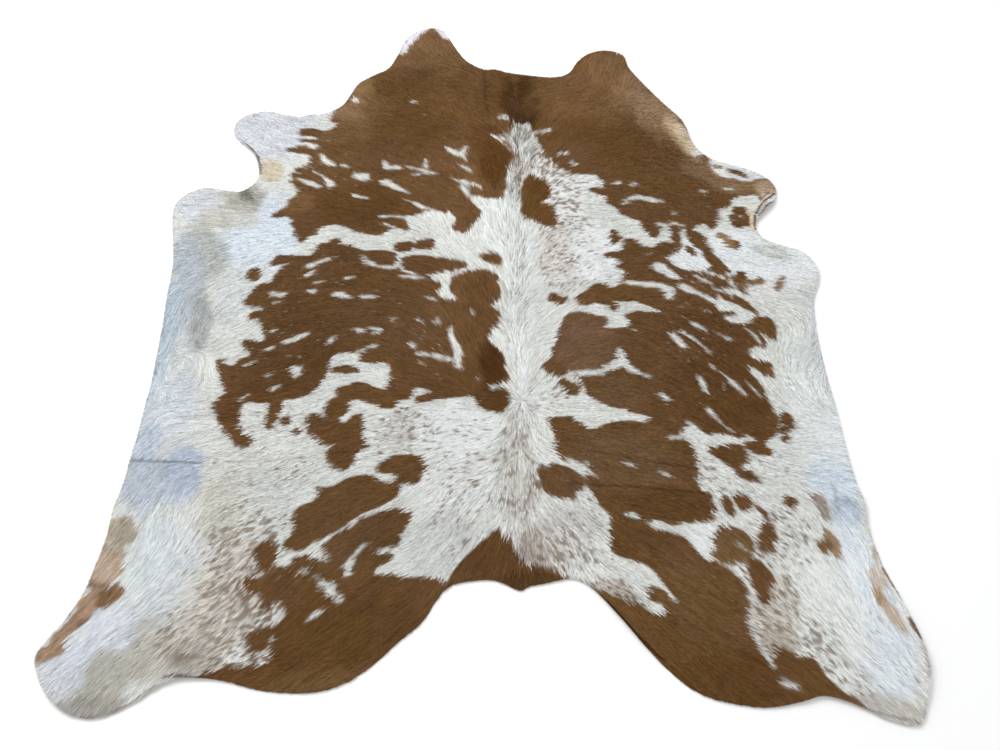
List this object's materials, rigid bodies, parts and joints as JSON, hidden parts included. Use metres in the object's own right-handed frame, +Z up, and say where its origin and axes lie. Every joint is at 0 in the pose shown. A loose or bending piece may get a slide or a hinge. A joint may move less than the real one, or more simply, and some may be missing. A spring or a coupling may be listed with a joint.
{
  "type": "cowhide rug",
  "caption": "Hair-on cowhide floor rug, one whole tanned skin lying flat with its leg and neck outline, brown patches on white.",
  "frame": {"origin": "middle of the hide's bounding box, on the floor", "axes": "+Z up, +Y towards the neck, +X to the right as seen from the tail end"},
  "size_m": [1.922, 2.2668, 0.0176],
  "materials": {
    "hide": "short glossy hair on tanned skin, brown patches on white, suede underside"
  },
  "bodies": {
    "root": {"hide": "hide"}
  },
  "joints": []
}
